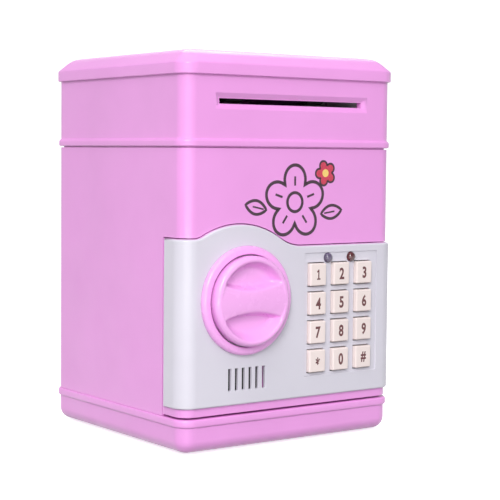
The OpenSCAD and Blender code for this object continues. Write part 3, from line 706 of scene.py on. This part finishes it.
def key_edge(place):
    return CAP_EDGE if place.y < CASE_FRONT / MM else 0.0


for name in KEY_NAMES:
    rounded_copy(name, key_edge, CAP_EDGE, segments=4)
print(len(KEY_NAMES), "key caps rounded")

# %% [markdown]
# ## Digits
# The digits are printed in dark brown. Blender's own lettering makes the outline, which becomes
# a very thin solid lying on the cap. It is narrowed a little and made bolder, and it rides on its
# key, so that it sinks with it. The built-in one is a bare bar, so that digit is drawn from listed points.

# %% Digits
SIGNS = {"key_star": "*", "key_hash": "#"}
SIGN_SHARE = {"*": 0.66, "#": 0.9, "1": 0.86}
FILM = 0.03 * MM
DIGIT_HIGH = 5.8 * MM
NARROWED = 0.78
BOLD = 0.034
STAR_BOLD = 0.022


def figure_one(height):
    """A one with its flag and its foot, which the built-in font draws as a bare bar."""
    outline = [(-0.28, -0.5), (0.28, -0.5), (0.28, -0.37), (0.10, -0.37), (0.10, 0.5), (-0.06, 0.5),
               (-0.30, 0.30), (-0.22, 0.19), (-0.09, 0.28), (-0.09, -0.37), (-0.28, -0.37)]
    mesh_tool = bmesh.new()
    sides = []
    for depth in (-FILM, FILM):
        sides.append([mesh_tool.verts.new((x * height * NARROWED, depth, z * height)) for x, z in outline])
    mesh_tool.faces.new(sides[0])
    mesh_tool.faces.new(sides[1][::-1])
    for i in range(len(outline)):
        j = (i + 1) % len(outline)
        mesh_tool.faces.new((sides[0][i], sides[1][i], sides[1][j], sides[0][j]))
    bmesh.ops.recalc_face_normals(mesh_tool, faces=mesh_tool.faces)
    return mesh_tool


def sign_mesh(sign, height):
    """Mesh of one sign, standing upright in X and Z, centred on the origin."""
    data = bpy.data.curves.new("sign", "FONT")
    data.body = sign
    data.extrude = 0.02
    data.offset = STAR_BOLD if sign == "*" else BOLD
    data.resolution_u = 6
    holder = bpy.data.objects.new("sign", data)
    bpy.context.scene.collection.objects.link(holder)
    bpy.context.view_layer.update()
    mesh_tool = bmesh.new()
    mesh_tool.from_mesh(bpy.data.meshes.new_from_object(holder))
    bpy.data.objects.remove(holder)
    bmesh.ops.remove_doubles(mesh_tool, verts=mesh_tool.verts, dist=0.0001)
    lows = [min(v.co[k] for v in mesh_tool.verts) for k in range(3)]
    highs = [max(v.co[k] for v in mesh_tool.verts) for k in range(3)]
    size = height / (highs[1] - lows[1])
    for v in mesh_tool.verts:
        x = (v.co.x - (lows[0] + highs[0]) / 2) * size * NARROWED
        z = (v.co.y - (lows[1] + highs[1]) / 2) * size
        depth = FILM if v.co.z < 0 else -FILM
        v.co = (x, depth, z)
    return mesh_tool


def print_digit(name):
    sign = SIGNS.get(name, name[-1])
    height = DIGIT_HIGH * SIGN_SHARE.get(sign, 1.0)
    mesh_tool = figure_one(height) if sign == "1" else sign_mesh(sign, height)
    where = middle(name)
    bmesh.ops.translate(mesh_tool, verts=mesh_tool.verts, vec=(where.x, low(name).y, where.z))
    piece = add_piece(name + "_print", mesh_tool, body_of_node(name), "black_plastic", digit_ink)
    for face in piece.data.polygons:
        face.use_smooth = False


for name in KEY_NAMES:
    print_digit(name)
print(len(KEY_NAMES), "signs printed")

# %% [markdown]
# ## Printed picture
# Above the door a picture is printed on the body. This one is a plain flower of five petals with
# two leaves and a small red bloom, drawn with strokes of even width. Each stroke is a ribbon
# along a curve that a formula gives, and it has just enough thickness to be a solid.

# %% Printing strokes
PRINT_FRONT = CASE_FRONT - 0.06 * MM
PRINT_BACK = CASE_FRONT + 0.05 * MM


def stroke(mesh_tool, points, width, closed):
    """Adds a flat ribbon along points (X, Z in mm) to the mesh."""
    count = len(points)
    rims = []
    for i, point in enumerate(points):
        before = points[(i - 1) % count] if closed or i > 0 else point
        after = points[(i + 1) % count] if closed or i < count - 1 else point
        along = (Vector(after) - Vector(before)).normalized()
        side = Vector((-along.y, along.x)) * width / 2
        place = Vector(point)
        rims.append([mesh_tool.verts.new((p.x * MM, y, p.y * MM))
                     for p, y in ((place + side, PRINT_FRONT), (place - side, PRINT_FRONT),
                                  (place - side, PRINT_BACK), (place + side, PRINT_BACK))])
    for i in range(count if closed else count - 1):
        first, second = rims[i], rims[(i + 1) % count]
        for k in range(4):
            mesh_tool.faces.new((first[k], second[k], second[(k + 1) % 4], first[(k + 1) % 4]))
    if not closed:
        mesh_tool.faces.new(rims[0])
        mesh_tool.faces.new(rims[-1][::-1])


def filled(mesh_tool, points):
    """Adds a flat filled outline (X, Z in mm) to the mesh."""
    front = [mesh_tool.verts.new((x * MM, PRINT_FRONT + 0.02 * MM, z * MM)) for x, z in points]
    back = [mesh_tool.verts.new((x * MM, PRINT_BACK, z * MM)) for x, z in points]
    mesh_tool.faces.new(front)
    mesh_tool.faces.new(back[::-1])
    for i in range(len(points)):
        j = (i + 1) % len(points)
        mesh_tool.faces.new((front[i], back[i], back[j], front[j]))


def flower_outline(x, z, reach, waist, petals=5, steps=160, lean=0.0):
    """Closed outline of a flower: the radius swells once for every petal."""
    points = []
    for i in range(steps):
        angle = math.tau * i / steps
        swell = abs(math.cos(petals * (angle - math.radians(90 + lean)) / 2)) ** 0.7
        radius = waist + (reach - waist) * swell
        points.append((x + radius * math.cos(angle), z + radius * math.sin(angle)))
    return points


def leaf_outline(x, z, length, width, lean, steps=40):
    """Closed outline of a pointed leaf that grows from (x, z) in the direction lean."""
    points = []
    for i in range(steps):
        t = i / (steps / 2)
        along = length * (t if t <= 1 else 2 - t)
        across = width / 2 * math.sin(math.pi * min(t, 2 - t)) ** 0.8 * (1 if t <= 1 else -1)
        a = math.radians(lean)
        points.append((x + along * math.cos(a) - across * math.sin(a),
                       z + along * math.sin(a) + across * math.cos(a)))
    return points


print("ink film", round((PRINT_BACK - PRINT_FRONT) / MM, 2), "mm thick")

# %% [markdown]
# ## Drawing the picture
# A pad printer lays down one colour at a time, so each ink is one piece: the dark lines first,
# then the red petals of the bloom and its yellow heart. Places are X and Z in millimetres.

# %% Printed picture
def print_piece(name, mesh_tool, slot, material):
    bmesh.ops.recalc_face_normals(mesh_tool, faces=mesh_tool.faces)
    piece = add_piece(name, mesh_tool, "casing", slot, material)
    for face in piece.data.polygons:
        face.use_smooth = False


FLOWER = (1.0, 118.0)
BLOOM = (20.0, 132.0)
lines = bmesh.new()
stroke(lines, flower_outline(*FLOWER, 18.0, 9.5), 1.6, True)
stroke(lines, flower_outline(*FLOWER, 4.6, 4.6), 1.5, True)
for petal in range(5):
    angle = math.radians(90 + 72 * petal)
    ray = [(FLOWER[0] + r * math.cos(angle), FLOWER[1] + r * math.sin(angle))
           for r in (8.0, 9.5, 11.0, 12.5)]
    stroke(lines, ray, 1.1, False)
stroke(lines, leaf_outline(-16.5, 114.5, 12.5, 6.5, 168), 1.4, True)
stroke(lines, leaf_outline(17.5, 112.0, 13.0, 6.5, 8), 1.4, True)
stroke(lines, [(-18.0, 114.8), (-21.0, 115.5), (-24.5, 116.2)], 0.8, False)
stroke(lines, [(19.5, 112.3), (22.5, 112.7), (26.0, 113.2)], 0.8, False)
stroke(lines, flower_outline(*BLOOM, 6.2, 3.6, steps=100, lean=20.0), 1.0, True)
print_piece("flower_lines", lines, "black_plastic", outline_ink)

bloom = bmesh.new()
filled(bloom, flower_outline(*BLOOM, 6.1, 3.5, steps=100, lean=20.0))
print_piece("bloom_petals", bloom, "led_red", red_ink)
heart = bmesh.new()
stroke(heart, flower_outline(*BLOOM, 1.0, 0.95, steps=24), 1.9, True)
print_piece("bloom_heart", heart, "brass", yellow_ink)
print("picture printed")

# %% [markdown]
# ## Inner parts
# Some of the parts inside show when the door is open. Each keeps its engineering shape, and
# modifiers soften it: coincident points are welded, flat facets are joined, every sharp edge is
# broken by a fine bevel, and the shading is evened out. Gears, springs and screws get the finest
# bevel.

# %% Inner parts
FINE = {"roller_gear", "reduction_gear", "motor_pinion", "plunger_spring", "battery_contacts", "hinge_pins",
        "gear_pin", "door_screws", "base_screws", "head_screws", "battery_cover_screw", "knob_screw"}


FINE_BREAK = 0.06 * MM
PLAIN_BREAK = 0.15 * MM


def soften(part, width):
    for face in part.data.polygons:
        face.use_smooth = True
    part.modifiers.new("weld", "WELD").merge_threshold = SAME_POINT
    flat = part.modifiers.new("join flats", "DECIMATE")
    flat.decimate_type = "DISSOLVE"
    flat.angle_limit = SAME_PLANE
    bevel = part.modifiers.new("break edges", "BEVEL")
    bevel.limit_method = "ANGLE"
    bevel.angle_limit = SHARP
    bevel.width = width
    bevel.segments = 2
    part.modifiers.new("even shading", "WEIGHTED_NORMAL").keep_sharp = True


replaced = {name for name in nodes if nodes[name].hide_render}
for name, part in nodes.items():
    if name not in replaced:
        soften(part, FINE_BREAK if name in FINE else PLAIN_BREAK)
print("softened", len(nodes) - len(replaced), "parts")

# %% [markdown]
# ## Studio
# The floor is a pale dish: it runs flat under the bank and curls up far away on every side, so
# no horizon line shows from any view. The paper glows, so it always reads as white. It would then
# throw too much light up at the bank and fill the shadows under the lip and the beads, so it is
# hidden from diffuse light, and the lower half of the sky takes its place.

# %% Floor
FLAT = 2.6
CURL = 0.7
RIM_HEIGHT = 1.6


def pale_dish():
    rings = [(FLAT, 0.0)]
    curl = [math.radians(a) for a in range(10, 91, 10)]
    rings += [(FLAT + CURL * math.sin(a), CURL - CURL * math.cos(a)) for a in curl]
    rings += [(FLAT + CURL, RIM_HEIGHT)]
    count = 96
    angles = [math.tau * i / count for i in range(count)]
    mesh_tool = bmesh.new()
    loops = []
    for radius, height in rings:
        loops.append([mesh_tool.verts.new((radius * math.cos(a), radius * math.sin(a), height))
                      for a in angles])
    mesh_tool.faces.new(loops[0])
    for inner, outer in zip(loops, loops[1:]):
        for i in range(count):
            j = (i + 1) % count
            mesh_tool.faces.new((inner[i], outer[i], outer[j], inner[j]))
    for face in mesh_tool.faces:
        face.smooth = True
    mesh = bpy.data.meshes.new("floor")
    mesh_tool.to_mesh(mesh)
    mesh_tool.free()
    floor = bpy.data.objects.new("floor", mesh)
    bpy.context.scene.collection.objects.link(floor)
    made = Finish("floor_paper")
    fibre = made.noise(900.0, 4.0)
    made.feed(Base_Color=made.blended(fibre, (0.86, 0.86, 0.86), (0.90, 0.90, 0.90)), Roughness=0.85,
              Emission_Color=(1.0, 1.0, 1.0, 1.0), Emission_Strength=0.70)
    dress(floor, made.material)
    floor.visible_diffuse = False


pale_dish()
print("floor laid")

# %% [markdown]
# ## Lights
# An even sky does about half of the work, as in a white tent. It is dimmer below the horizon, so
# seams and undersides stay darker. A large soft panel stands at the front left, square to the
# near corner, so the corner catches the most light. A small panel overhead keeps the lid bright,
# a low strip lifts the base, and a high panel behind keeps the back and the right side readable.

# %% Lights
world = bpy.data.worlds.new("white tent")
bpy.context.scene.world = world
world.use_nodes = True
sky = world.node_tree.nodes["Background"]
sky.inputs["Color"].default_value = (0.95, 0.97, 1.0, 1.0)
direction = world.node_tree.nodes.new("ShaderNodeTexCoord").outputs["Generated"]
upward = world.node_tree.nodes.new("ShaderNodeSeparateXYZ")
world.node_tree.links.new(direction, upward.inputs["Vector"])
dimming = world.node_tree.nodes.new("ShaderNodeMapRange")
for key, number in {"From Min": -0.5, "From Max": 0.3, "To Min": 0.20, "To Max": 0.58}.items():
    dimming.inputs[key].default_value = number
world.node_tree.links.new(upward.outputs["Z"], dimming.inputs["Value"])
world.node_tree.links.new(dimming.outputs["Result"], sky.inputs["Strength"])
bpy.context.scene.view_settings.view_transform = "Standard"


def soft_panel(name, place, aim, size, watts):
    data = bpy.data.lights.new(name, "AREA")
    data.shape = "RECTANGLE"
    data.size, data.size_y = size
    data.energy = watts
    light = bpy.data.objects.new(name, data)
    bpy.context.scene.collection.objects.link(light)
    light.location = place
    light.rotation_euler = (Vector(aim) - Vector(place)).to_track_quat("-Z", "Y").to_euler()
    light.visible_camera = False


soft_panel("key_panel", (-0.92, -1.0, 0.85), (0.0, 0.0, 0.09), (0.45, 0.60), 15.6)
soft_panel("top_panel", (-0.35, -0.45, 1.2), (0.0, 0.0, 0.1), (0.5, 0.5), 2.6)
soft_panel("low_panel", (-0.40, -0.62, 0.04), (0.0, 0.0, 0.02), (0.60, 0.08), 1.1)
soft_panel("back_panel", (0.65, 0.85, 1.35), (0.0, 0.0, 0.1), (0.9, 0.9), 8.0)
